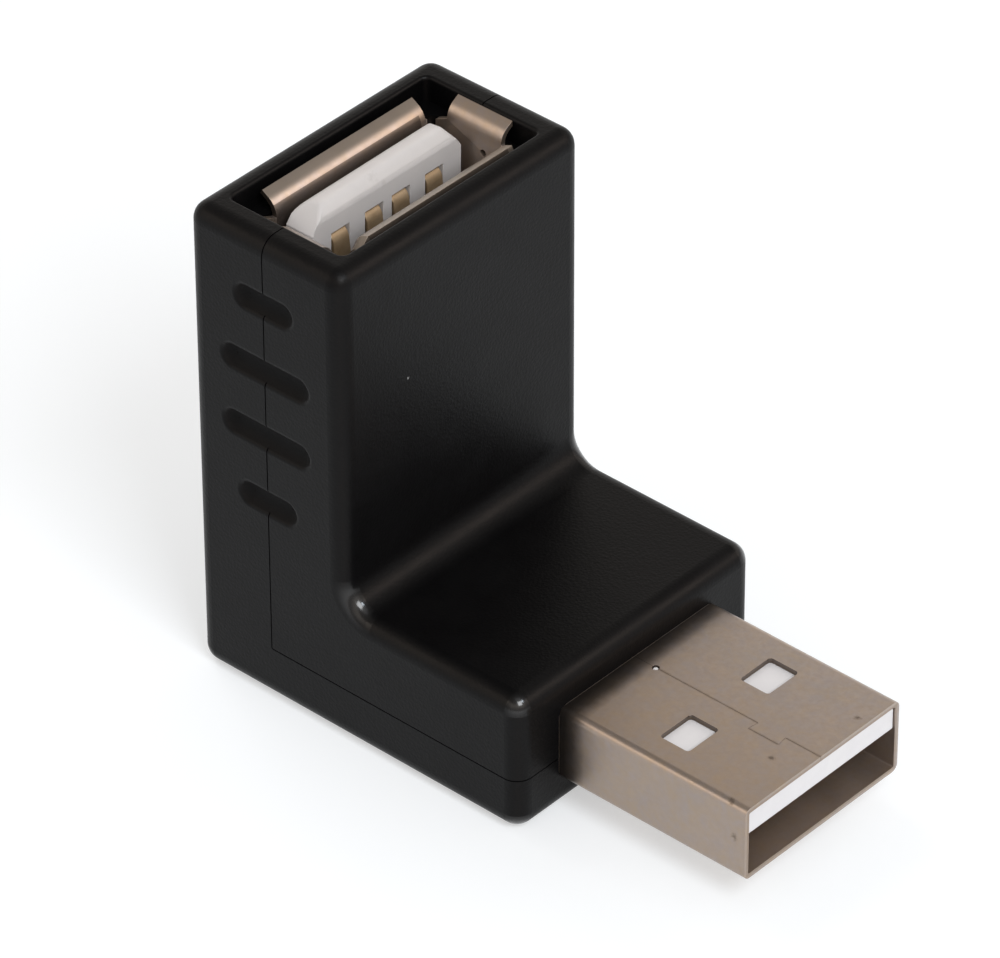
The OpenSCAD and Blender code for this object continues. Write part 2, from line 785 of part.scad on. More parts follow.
// Cones of solder round the socket's pins under the board
module socket_pin_solder() {
    color(solder_grey) placed() for (y = contact_ys)
        translate([contact_x + contact_t / 2, y, board_bottom - solder_h]) difference() {
            cylinder(d1 = pin_w + 2 * solder_tip, d2 = solder_d, h = solder_h);
            cube([contact_t, pin_w, 4 * solder_h], center = true);
        }
}

// Beads of solder round the sleeve's legs under the board
module socket_leg_solder() {
    color(solder_grey) placed() both_sides()
        translate([stem_mid, leg_y + sheet / 2, board_bottom - solder_h / 2]) difference() {
            linear_extrude(solder_h, center = true)
                rounded_rect([leg_w + solder_d / 2, solder_d], solder_d / 2 - contact_fit);
            cube([leg_w, sheet, 4 * solder_h], center = true);
        }
}

rear_shell();
front_shell();
plug_shield();
plug_insulator();
plug_contact(0);  // plug_contact_power
plug_contact(1);  // plug_contact_data_minus
plug_contact(2);  // plug_contact_data_plus
plug_contact(3);  // plug_contact_ground
socket_shield();
socket_insulator();
socket_contact(0);  // socket_contact_power
socket_contact(1);  // socket_contact_data_minus
socket_contact(2);  // socket_contact_data_plus
socket_contact(3);  // socket_contact_ground
circuit_board();
plug_tail_solder();
plug_tab_solder();
socket_pin_solder();
socket_leg_solder();
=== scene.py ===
"""Looks of a right-angle connector adapter: black moulded L housing, two plated sleeves and white inserts."""

import math

import bmesh
import bpy
from mathutils import Matrix, Quaternion, Vector


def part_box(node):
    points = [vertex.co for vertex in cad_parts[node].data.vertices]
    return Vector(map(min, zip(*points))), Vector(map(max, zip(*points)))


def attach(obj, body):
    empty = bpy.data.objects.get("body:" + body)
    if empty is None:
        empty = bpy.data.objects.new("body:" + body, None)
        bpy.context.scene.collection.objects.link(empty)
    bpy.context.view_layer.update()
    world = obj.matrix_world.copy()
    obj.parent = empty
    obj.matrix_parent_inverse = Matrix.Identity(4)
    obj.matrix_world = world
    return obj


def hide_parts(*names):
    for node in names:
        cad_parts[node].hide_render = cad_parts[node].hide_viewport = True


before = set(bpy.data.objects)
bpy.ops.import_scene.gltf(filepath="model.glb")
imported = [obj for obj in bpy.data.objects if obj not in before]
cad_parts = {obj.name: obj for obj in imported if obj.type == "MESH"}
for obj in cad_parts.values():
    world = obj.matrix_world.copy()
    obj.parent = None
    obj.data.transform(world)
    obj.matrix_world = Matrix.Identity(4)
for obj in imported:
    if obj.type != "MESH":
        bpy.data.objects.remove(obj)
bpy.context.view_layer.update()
scene = bpy.context.scene
mm = 0.001

# Camera: the photograph's viewing angle in degrees, distance and aim in millimetres, clipping in metres
view_azimuth = 41.96
view_elevation = 36.70
view_roll = -0.23
view_distance = 382.65
view_aim = (-2.77, -1.77, 14.72)
view_lens = 272.1
view_sensor = 36
view_clip = (0.01, 10)

# Places on the part in millimetres: X runs along the foot to the plug, Y across it and Z up the stem
sleeve_low, sleeve_high = (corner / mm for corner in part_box("socket_shield"))
stem_middle_x = (sleeve_low.x + sleeve_high.x) / 2
housing_end_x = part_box("front_shell")[1].x / mm
housing_half_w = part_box("front_shell")[1].y / mm
plug_end_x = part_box("plug_shield")[1].x / mm
plug_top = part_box("plug_shield")[1].z / mm
plug_half_w = 6.0
plug_half_h = 2.25
plug_middle_z = plug_top - plug_half_h
sheet_t = 0.3

# Latch windows in the plug's top: their walls lie inside a half width, above a height and before an end
window_half_y = 5.4
window_low_z = 6.0
window_end_x = 17.0

# Seam on top of the plug: its line, its dovetail, its small hole and its three straight runs
seam_y = -0.2
dovetail_y = -0.85
dovetail_root_x = (13.2, 15.0)
dovetail_end_x = (13.1, 15.1)
dovetail_flank_x = (13.15, 15.05)
seam_hole_x = housing_end_x + 1.4
seam_corners = [(x, seam_y) for x in dovetail_root_x] + [(x, dovetail_y) for x in dovetail_end_x]
seam_runs = (
    (seam_y, seam_hole_x, dovetail_flank_x[0]),
    (dovetail_y, *dovetail_flank_x),
    (seam_y, dovetail_flank_x[1], plug_end_x),
)

# Socket: its floor, the tongue with its ridge, shoulders and slots, and the contacts in it
socket_floor_z = 16.3
tongue_tip_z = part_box("socket_insulator")[1].z / mm
ridge_split_x = stem_middle_x - 1
ridge_depth = 0.1
shoulder_depth = 0.3
slot_top_depth = (1.4, 1.5)
soft_tip_depth = 1.0
contact_root_rise = 2.5
contact_tip_depth = 2.7

# Lips round the socket's mouth: a long one in front and behind, a short one left and right
sleeve_half_t = 2.56
lip_root_z = 27.47
lip_bend_r = 1.0
lip_turn = math.radians(60)
long_lip_x = 2.5
long_lip_half = 5.8
back_lip_left_y = -5.7
short_lip_y = 6.2
short_lip_half = 2.1

# Grip grooves: the part of both side walls that holds them, and the depth at which they are fully dull
grip_half_l = 3.6
grip_low_z = 9.8
grip_high_z = 26.4
grip_dull_depth = 0.2

# Foot corners that hands polish lie below this height
polish_top_z = 11.5

# What the photographed piece shows beyond the plain model, in millimetres
front_lip_rise = 0.27
front_lip_fall = 0.17
front_lip_short = 0.25
front_lip_end_y = -5.0
front_lip_end_drop = 0.55
back_lip_short = 0.35
back_bend_growth = 0.22
right_lip_rise = 0.2
right_lip_out = 0.2
right_lip_short = 0.4
left_lip_short = (1.5, 0.15)
tongue_shift = 0.25
back_ridge_move = Vector((0.12, 0.27, 0.02))
front_ridge_move = Vector((-0.3, 0.08, 0.26))
left_end_drop = 0.1
shoulder_move = (0.3, 0.2)
ridge_r = 0.22
slot_drop = 0.12
contact_drop = 0.24
plug_fold_r = (0.6, 0.42)
seam_share = 0.45
peg_r = (0.18, 0.15)
peg_h = 0.36
peg_drop = 0.25

# Rounding of sharp edges, in millimetres
sheet_edge_r = 0.05
contact_edge_r = 0.05
plug_insert_edge_r = 0.08
socket_insert_edge_r = 0.12

# How near a point lies to a place to count as part of it, in millimetres and radians
hair = 0.01
fold_hair = 0.001
sheet_slack = 0.02
turn_slack = 0.02
lip_clearance = 0.1
seam_reach = 0.06
seam_corner_reach = 0.12

# Angles that tell flat faces, smooth bends and edges to round apart, and the distance of points that are one
flat_angle = math.radians(0.4)
smooth_angle = math.radians(30)
edge_angle = math.radians(35)
same_point = 0.0005

# Marks on the surfaces: places in millimetres, and a radius
sheet_stains_and_shade = (
    (15.5, -1.9, 6.45, 0.24),
    (16.68, 3.44, 6.45, 0.24),
    (16.6, -6.0, 4.46, 0.26),
    (16.2, -5.76, 6.4, 0.24),
    # The last two are painted shade on the left ends of the socket's two long lips; the others are stains on
    # the plug's sleeve
    (-9.1, -5.75, 27.7, 1.0),
    (-14.7, -5.9, 27.2, 0.9),
)
tongue_smudge = (-12.28, -0.5, 28.4, 0.5)
stem_speck = (-6.8, -4.17, 20.4, 0.09)
stain_and_shade_share = 0.7
smudge_share = 0.22
insert_dirt_share = 0.16

# Dirt and painted light, in millimetres: where the painted dim reflection on the long lips' outer flats
# begins and is full, and how far dirt lies from the seam and sooty dirt with painted shade from the housing
dim_flat_start = 0.15
dim_flat_full = 0.4
seam_dirt_half = 0.11
soot_and_shade_reach = 1.35

# Colours of the housing
black = (0.0020, 0.0019, 0.0022)
black_bloom = (0.0030, 0.0029, 0.0032)
black_rubbed = (0.0080, 0.0062, 0.0056)
dust_grey = (0.04, 0.039, 0.038)
speck_grey = (0.35, 0.35, 0.35)

# Colours of the plated sheet, and the tints that multiply them, among them painted shade and a painted dim
# reflection, each marked where it stands
plate_grey = (0.407, 0.358, 0.329)
plate_taupe = (0.465, 0.390, 0.346)
plate_worn = (0.345, 0.285, 0.247)
# Brown that the sheet turns toward one side
brown_side_colour = (0.365, 0.28, 0.215)
# Brown of the stains, also laid as painted shade on two lip ends
stain_and_shade_brown = (0.12, 0.088, 0.063)
seam_brown = (0.13, 0.09, 0.06)
# Sooty dirt with painted shade next to the housing
soot_and_shade_black = (0.012, 0.010, 0.009)
# Painted dim reflection on the long lips' outer flats
dim_flat_taupe = (0.275, 0.234, 0.195)
# Painted shade inside the plug's sleeve
inside_shade_brown = (0.24, 0.165, 0.105)
# Painted shade on walls high in the sheet
wall_shade_brown = (0.05, 0.036, 0.027)
cool_tint = (0.965, 1.0, 1.07)
warm_tint = (1.035, 1.0, 0.92)
plain_tint = (1.0, 1.0, 1.0)
# Painted shade: faces that look sideways are darkened by this tint
upright_shade_tint = (0.92, 0.93, 0.95)

# Colours of the inserts, the contacts, the board and the solder
plug_whites = ((0.80, 0.79, 0.81), (0.84, 0.83, 0.845))
# Painted shade: the socket's insert is the same white plastic as the plug's, written darker
socket_shaded_whites = ((0.645, 0.625, 0.625), (0.685, 0.66, 0.655))
smudge_grey = (0.34, 0.31, 0.285)
contact_tans = ((0.40, 0.278, 0.16), (0.46, 0.34, 0.213))
contact_rubbed = (0.38, 0.28, 0.17)
lacquer_greens = ((0.012, 0.09, 0.035), (0.02, 0.13, 0.05))
thread_green = (0.04, 0.18, 0.08)
solder_greys = ((0.52, 0.52, 0.53), (0.70, 0.70, 0.71))

# Floor: half its side in metres, its gap under the part in millimetres, and its paper
floor_half = 1.5
floor_gap = 0.02
paper = (0.80, 0.83, 0.87, 1)
paper_seen = (0.57, 0.60, 0.63, 1)
paper_glow = 0.49

# Sky: colours from the horizon up to overhead
sky_bands = [
    (0.0, (1.0, 1.0, 1.0)),
    (0.06, (1.0, 1.0, 1.0)),
    (0.12, (0.44, 0.435, 0.43)),
    (0.26, (0.43, 0.415, 0.40)),
    (0.45, (0.86, 0.795, 0.725)),
    (0.63, (0.92, 0.85, 0.78)),
    (0.72, (0.44, 0.41, 0.38)),
    (0.78, (0.25, 0.24, 0.23)),
    (1.0, (0.29, 0.285, 0.28)),
]


def direction(azimuth, elevation):
    """Unit vector from the object toward a place in the studio: 0 is in front of it, 90 to its right."""
    a = math.radians(azimuth)
    e = math.radians(elevation)
    return Vector((math.sin(a) * math.cos(e), -math.cos(a) * math.cos(e), math.sin(e)))


def make_camera():
    back = direction(view_azimuth, view_elevation)
    camera = bpy.data.objects.new("camera", bpy.data.cameras.new("camera"))
    scene.collection.objects.link(camera)
    camera.data.lens = view_lens
    camera.data.sensor_width = view_sensor
    camera.data.clip_start, camera.data.clip_end = view_clip
    camera.location = (Vector(view_aim) + back * view_distance) * mm
    camera.rotation_mode = "QUATERNION"
    turn = Quaternion((0, 0, 1), math.radians(view_roll))
    camera.rotation_quaternion = (-back).to_track_quat("-Z", "Y") @ turn
    scene.camera = camera


# Node helpers

def node(tree, kind, values=None, **settings):
    """Adds a node, sets its own settings, and then its input sockets by name or number."""
    made = tree.nodes.new(kind)
    for name, value in settings.items():
        setattr(made, name, value)
    for name, value in (values or {}).items():
        made.inputs[name].default_value = value
    return made


def link(tree, out, into):
    tree.links.new(out, into)


def ramp(tree, source, stops):
    """Turns a value into another one, or a colour, by a list of (place, value or colour)."""
    made = tree.nodes.new("ShaderNodeValToRGB")
    band = made.color_ramp
    while len(band.elements) < len(stops):
        band.elements.new(0.5)
    for element, (place, value) in zip(band.elements, stops):
        element.position = place
        element.color = (*value, 1) if isinstance(value, tuple) else (value, value, value, 1)
    link(tree, source, made.inputs["Fac"])
    return made.outputs["Color"]


def colour_socket(sockets, name):
    """Colour socket of a mix node, which has more sockets of the same name."""
    return next(s for s in sockets if s.name == name and s.type == "RGBA")


def mixed(tree, mask, low, high):
    """Colour between low and high, each a colour or a socket, by a mask."""
    made = node(tree, "ShaderNodeMix", data_type="RGBA")
    link(tree, mask, made.inputs["Factor"])
    for name, value in (("A", low), ("B", high)):
        socket = colour_socket(made.inputs, name)
        if isinstance(value, tuple):
            socket.default_value = (*value, 1)
        else:
            link(tree, value, socket)
    return colour_socket(made.outputs, "Result")


def laid_over(tree, colour, mask, share, over):
    """Colour with another laid over it by a share of a mask."""
    return mixed(tree, combine(tree, "MULTIPLY", mask, share), colour, over)


def tinted(tree, colour, mask, low, high):
    """Colour multiplied by a tint between low and high, by a mask."""
    made = node(tree, "ShaderNodeMix", {"Factor": 1.0}, data_type="RGBA", blend_type="MULTIPLY")
    link(tree, colour, colour_socket(made.inputs, "A"))
    link(tree, mixed(tree, mask, low, high), colour_socket(made.inputs, "B"))
    return colour_socket(made.outputs, "Result")


def scaled(tree, value, low, high):
    """Value from 0..1 taken to low..high."""
    made = node(tree, "ShaderNodeMapRange", {"To Min": low, "To Max": high})
    link(tree, value, made.inputs["Value"])
    return made.outputs["Result"]


def combine(tree, operation, first, second, **settings):
    """Maths on two sockets, or on a socket and a number."""
    made = node(tree, "ShaderNodeMath", operation=operation, **settings)
    link(tree, first, made.inputs[0])
    if isinstance(second, (int, float)):
        made.inputs[1].default_value = second
    else:
        link(tree, second, made.inputs[1])
    return made.outputs[0]


def raised(tree, value, mask, amount):
    """Value raised by an amount where a mask is full."""
    return combine(tree, "ADD", value, combine(tree, "MULTIPLY", mask, amount))


def all_of(tree, *masks):
    """Mask that is full only where every mask is."""
    both = masks[0]
    for mask in masks[1:]:
        both = combine(tree, "MULTIPLY", both, mask)
    return both


def unsigned(tree, value):
    """Value without its sign."""
    made = node(tree, "ShaderNodeMath", operation="ABSOLUTE")
    link(tree, value, made.inputs[0])
    return made.outputs[0]


def apart(tree, vector):
    """X, Y and Z of a place or a direction."""
    made = node(tree, "ShaderNodeSeparateXYZ")
    link(tree, vector, made.inputs[0])
    return made.outputs


def noise(tree, place, **values):
    """Noise at a place, whose scale may be a number or a socket."""
    made = node(tree, "ShaderNodeTexNoise")
    link(tree, place, made.inputs["Vector"])
    for name, value in values.items():
        if isinstance(value, float):
            made.inputs[name].default_value = value
        else:
            link(tree, value, made.inputs[name])
    return made.outputs["Fac"]


def new_group(name, inputs, output, places=()):
    """Empty node group with number inputs, inputs that are places, and one value output."""
    tree = bpy.data.node_groups.new(name, "ShaderNodeTree")
    for title in inputs:
        tree.interface.new_socket(title, in_out="INPUT", socket_type="NodeSocketFloat")
    for title in places:
        tree.interface.new_socket(title, in_out="INPUT", socket_type="NodeSocketVector")
    tree.interface.new_socket(output, in_out="OUTPUT", socket_type="NodeSocketFloat")
    given = tree.nodes.new("NodeGroupInput")
    result = tree.nodes.new("NodeGroupOutput")
    place = tree.nodes.new("ShaderNodeTexCoord")
    return tree, given.outputs, result.inputs[output], place.outputs


def use(tree, group, **values):
    """Places a group in a material with its own values and gives its output."""
    made = tree.nodes.new("ShaderNodeGroup")
    made.node_tree = group
    for name, value in values.items():
        made.inputs[name.replace("_", " ")].default_value = value
    return made.outputs[0]


# Effects, each a group that a finish places with its own values

def make_moulded_grain():
    """Fine pitted grain of a moulded surface, as a height."""
    tree, given, result, place = new_group("moulded_grain", ("Scale",), "Height")
    pit_scale = 0.6
    fine = noise(tree, place["Object"], Scale=given["Scale"], Detail=2.0, Roughness=0.6)
    pits = node(tree, "ShaderNodeTexVoronoi")
    link(tree, place["Object"], pits.inputs["Vector"])
    link(tree, combine(tree, "MULTIPLY", given["Scale"], pit_scale), pits.inputs["Scale"])
    link(tree, combine(tree, "ADD", fine, pits.outputs["Distance"]), result)
    return tree


def make_mottle():
    """Cloudy patches with a finer break-up inside them, as a mask."""
    tree, given, result, place = new_group("mottle", ("Scale", "Shift"), "Mask")
    moved = node(tree, "ShaderNodeVectorMath", operation="ADD")
    link(tree, place["Object"], moved.inputs[0])
    link(tree, given["Shift"], moved.inputs[1])
    cloud = noise(tree, moved.outputs[0], Scale=given["Scale"], Detail=5.0, Roughness=0.62, Distortion=0.4)
    link(tree, ramp(tree, cloud, [(0.32, 0.0), (0.68, 1.0)]), result)
    return tree


def make_scratches():
    """Long hairlines that run along X, as a mask."""
    tree, given, result, place = new_group("scratches", ("Scale", "Share"), "Mask")
    stretch = (0.035, 1.0, 1.0)
    drawn = node(tree, "ShaderNodeVectorMath", {1: stretch}, operation="MULTIPLY")
    link(tree, place["Object"], drawn.inputs[0])
    lines = noise(tree, drawn.outputs[0], Scale=given["Scale"], Detail=3.0, Roughness=0.7, Distortion=0.15)
    sharp = ramp(tree, lines, [(0.56, 0.0), (0.66, 1.0)])
    link(tree, combine(tree, "MULTIPLY", sharp, given["Share"]), result)
    return tree


def make_rubbed_edges():
    """Rounded edges, told from flat faces by how far they turn from the main directions, as a mask."""
    tree, given, result, place = new_group("rubbed_edges", ("Reach",), "Mask")
    size = node(tree, "ShaderNodeVectorMath", operation="ABSOLUTE")
    link(tree, place["Normal"], size.inputs[0])
    facing = apart(tree, size.outputs[0])
    most = combine(tree, "MAXIMUM", facing["X"], facing["Y"])
    most = combine(tree, "MAXIMUM", most, facing["Z"])
    turned = node(tree, "ShaderNodeMath", {0: 1.0}, operation="SUBTRACT")
    link(tree, most, turned.inputs[1])
    edge = combine(tree, "DIVIDE", turned.outputs[0], given["Reach"])
    patchy = scaled(tree, noise(tree, place["Object"], Scale=900.0, Detail=4.0), 0.3, 1.3)
    link(tree, combine(tree, "MULTIPLY", edge, patchy, use_clamp=True), result)
    return tree


def make_polished_corners():
    """Ball corners below a height, where three rounded edges meet and hands rub them smooth, as a mask."""
    tree, given, result, place = new_group("polished_corners", ("Reach", "Top"), "Mask")
    facing = apart(tree, place["Normal"])
    all_three = unsigned(tree, all_of(tree, facing["X"], facing["Y"], facing["Z"]))
    corner = combine(tree, "DIVIDE", all_three, given["Reach"], use_clamp=True)
    below = combine(tree, "LESS_THAN", apart(tree, place["Object"])["Z"], given["Top"])
    link(tree, all_of(tree, corner, below), result)
    return tree


def make_soot_and_shade():
    """Sooty dirt with painted shade that gathers along a line across X and thins out beyond it, sooner toward
    +Y, as a mask.
    """
    tree, given, result, place = new_group("soot_and_shade", ("Start", "Reach", "Lean"), "Mask")
    spot = apart(tree, place["Object"])
    away = combine(tree, "SUBTRACT", spot["X"], given["Start"])
    started = combine(tree, "GREATER_THAN", away, 0.0)
    leaning = combine(tree, "ADD", away, combine(tree, "MULTIPLY", spot["Y"], given["Lean"]))
    share = combine(tree, "DIVIDE", leaning, given["Reach"])
    rough = scaled(tree, noise(tree, place["Object"], Scale=1500.0, Detail=3.0), -0.14, 0.14)
    fading = ramp(tree, combine(tree, "ADD", share, rough), [(0.0, 1.0), (0.4, 0.8), (1.0, 0.0)])
    link(tree, all_of(tree, fading, started), result)
    return tree


def make_seam_dirt():
    """Dirt along a straight seam that runs in X on a level sheet, as a mask."""
    tree, given, result, place = new_group("seam_dirt", ("Y", "Half", "From", "To", "Lowest"), "Mask")
    spot = apart(tree, place["Object"])
    off = unsigned(tree, combine(tree, "SUBTRACT", spot["Y"], given["Y"]))
    near = combine(tree, "DIVIDE", off, given["Half"])
    rough = scaled(tree, noise(tree, place["Object"], Scale=4000.0, Detail=2.0), -0.5, 0.5)
    band = ramp(tree, combine(tree, "ADD", near, rough), [(0.3, 1.0), (1.0, 0.0)])
    after = combine(tree, "GREATER_THAN", spot["X"], given["From"])
    before = combine(tree, "LESS_THAN", spot["X"], given["To"])
    above = combine(tree, "GREATER_THAN", spot["Z"], given["Lowest"])
    link(tree, all_of(tree, band, after, before, above), result)
    return tree


def make_cut_edges():
    """Upright walls of the openings in a level sheet, inside a half width and before an end, as a mask."""
    tree, given, result, place = new_group("cut_edges", ("Lowest", "Half", "End"), "Mask")
    spot = apart(tree, place["Object"])
    level_from = 0.55
    upright = combine(tree, "LESS_THAN", apart(tree, place["Normal"])["Z"], level_from)
    above = combine(tree, "GREATER_THAN", spot["Z"], given["Lowest"])
    inside = combine(tree, "LESS_THAN", unsigned(tree, spot["Y"]), given["Half"])
    before = combine(tree, "LESS_THAN", spot["X"], given["End"])
    link(tree, all_of(tree, upright, above, inside, before), result)
    return tree


def make_inner_faces():
    """Faces inside a sleeve that runs along X, told by their place, as a mask."""
    tree, given, result, place = new_group("inner_faces", ("Half Y", "Half Z", "Middle"), "Mask")
    spot = apart(tree, place["Object"])
    upward = unsigned(tree, combine(tree, "SUBTRACT", spot["Z"], given["Middle"]))
    between = combine(tree, "LESS_THAN", unsigned(tree, spot["Y"]), given["Half Y"])
    inside = combine(tree, "LESS_THAN", upward, given["Half Z"])
    link(tree, all_of(tree, between, inside), result)
    return tree


def make_painted_dim_flats():
    """Outer flats of the two long lips above a height, where a dim reflection is painted, as a mask."""
    tree, given, result, place = new_group("painted_dim_flats", ("Middle", "Start", "Full", "Lowest"), "Mask")
    spot = apart(tree, place["Object"])
    outward = unsigned(tree, combine(tree, "SUBTRACT", spot["X"], given["Middle"]))
    flat = tree.nodes.new("ShaderNodeMapRange")
    link(tree, outward, flat.inputs["Value"])
    link(tree, given["Start"], flat.inputs["From Min"])
    link(tree, given["Full"], flat.inputs["From Max"])
    above = combine(tree, "GREATER_THAN", spot["Z"], given["Lowest"])
    link(tree, all_of(tree, flat.outputs["Result"], above), result)
    return tree


def make_grip_grooves():
    """Grip grooves in both side walls, told by their depth under the wall, as a mask."""
    inputs = ("Wall", "Depth", "Middle", "Half", "Low", "High")
    tree, given, result, place = new_group("grip_grooves", inputs, "Mask")
    spot = apart(tree, place["Object"])
    under = combine(tree, "SUBTRACT", given["Wall"], unsigned(tree, spot["Y"]))
    deep = combine(tree, "DIVIDE", under, given["Depth"], use_clamp=True)
    across = unsigned(tree, combine(tree, "SUBTRACT", spot["X"], given["Middle"]))
    near = combine(tree, "LESS_THAN", across, given["Half"])
    above = combine(tree, "GREATER_THAN", spot["Z"], given["Low"])
    below = combine(tree, "LESS_THAN", spot["Z"], given["High"])
    link(tree, all_of(tree, deep, near, above, below), result)
    return tree


def make_specks():
    """Sparse small specks, as a mask: one cell in a few holds a speck."""
    tree, given, result, place = new_group("specks", ("Scale", "Size", "Share"), "Mask")
    cells = node(tree, "ShaderNodeTexVoronoi", {"Randomness": 1.0})
    link(tree, place["Object"], cells.inputs["Vector"])
    link(tree, given["Scale"], cells.inputs["Scale"])
    chance = node(tree, "ShaderNodeSeparateColor")
    link(tree, cells.outputs["Color"], chance.inputs[0])
    chosen = combine(tree, "LESS_THAN", chance.outputs["Red"], given["Share"])
    near = combine(tree, "DIVIDE", cells.outputs["Distance"], given["Size"])
    dot = ramp(tree, near, [(0.45, 1.0), (1.0, 0.0)])
    link(tree, all_of(tree, dot, chosen), result)
    return tree


def make_stain():
    """One irregular stain round a place on the object, as a mask."""
    tree, given, result, place = new_group("stain", ("Radius",), "Mask", places=("Centre",))
    away = node(tree, "ShaderNodeVectorMath", operation="DISTANCE")
    link(tree, place["Object"], away.inputs[0])
    link(tree, given["Centre"], away.inputs[1])
    near = combine(tree, "DIVIDE", away.outputs["Value"], given["Radius"])
    rough = scaled(tree, noise(tree, place["Object"], Scale=5200.0, Detail=3.0, Roughness=0.7), -1.1, 1.1)
    link(tree, ramp(tree, combine(tree, "ADD", near, rough), [(0.2, 1.0), (1.0, 0.0)]), result)
    return tree


moulded_grain = make_moulded_grain()
mottle = make_mottle()
scratches = make_scratches()
rubbed_edges = make_rubbed_edges()
polished_corners = make_polished_corners()
soot_and_shade = make_soot_and_shade()
seam_dirt = make_seam_dirt()
cut_edges = make_cut_edges()
inner_faces = make_inner_faces()
painted_dim_flats = make_painted_dim_flats()
grip_grooves = make_grip_grooves()
specks = make_specks()
stain = make_stain()


# Finishes

def new_finish(name, **values):
    """Material with one Principled shader, whose plain sockets are set by name."""
    material = bpy.data.materials.new(name)
    material.use_nodes = True
    tree = material.node_tree
    tree.nodes.clear()
    shader = node(tree, "ShaderNodeBsdfPrincipled")
    for title, value in values.items():
        shader.inputs[title.replace("_", " ")].default_value = value
    out = node(tree, "ShaderNodeOutputMaterial")
    link(tree, shader.outputs[0], out.inputs["Surface"])
    return material, tree, shader.inputs


def add_relief(tree, shader, height, strength, depth):
    """Bump from a height, whose full depth is in millimetres."""
    relief = node(tree, "ShaderNodeBump", {"Strength": strength, "Distance": depth * mm})
    link(tree, height, relief.inputs["Height"])
    link(tree, relief.outputs["Normal"], shader["Normal"])


def one_stain(tree, mark):
    """Stain at a mark: its place and radius in millimetres."""
    *centre, radius = mark
    return use(tree, stain, Centre=Vector(centre) * mm, Radius=radius * mm)


def housing_finish():
    """Black moulded plastic: grain, a faint bloom, rubbed edges, dull grips and polished foot corners."""
    material, tree, shader = new_finish(
        "black_moulded_plastic", Specular_IOR_Level=0.12, Coat_Roughness=0.15, Coat_IOR=1.5)
    bloom = use(tree, mottle, Scale=330.0)
    rubbed = use(tree, rubbed_edges, Reach=0.3)
    dust = use(tree, specks, Scale=800.0, Size=0.1, Share=0.05)
    grips = use(tree, grip_grooves, Wall=housing_half_w * mm, Depth=grip_dull_depth * mm,
                Middle=stem_middle_x * mm, Half=grip_half_l * mm, Low=grip_low_z * mm, High=grip_high_z * mm)
    colour = mixed(tree, bloom, black, black_bloom)
    colour = laid_over(tree, colour, rubbed, share=0.5, over=black_rubbed)
    colour = laid_over(tree, colour, dust, share=0.3, over=dust_grey)
    colour = mixed(tree, one_stain(tree, stem_speck), colour, speck_grey)
    link(tree, colour, shader["Base Color"])
    rough = scaled(tree, bloom, low=0.39, high=0.46)
    rough = raised(tree, rough, rubbed, amount=-0.06)
    rough = raised(tree, rough, grips, amount=0.24)
    link(tree, rough, shader["Roughness"])
    link(tree, use(tree, polished_corners, Reach=0.14, Top=polish_top_z * mm), shader["Coat Weight"])
    add_relief(tree, shader, use(tree, moulded_grain, Scale=9000.0), strength=0.7, depth=0.009)
    return material


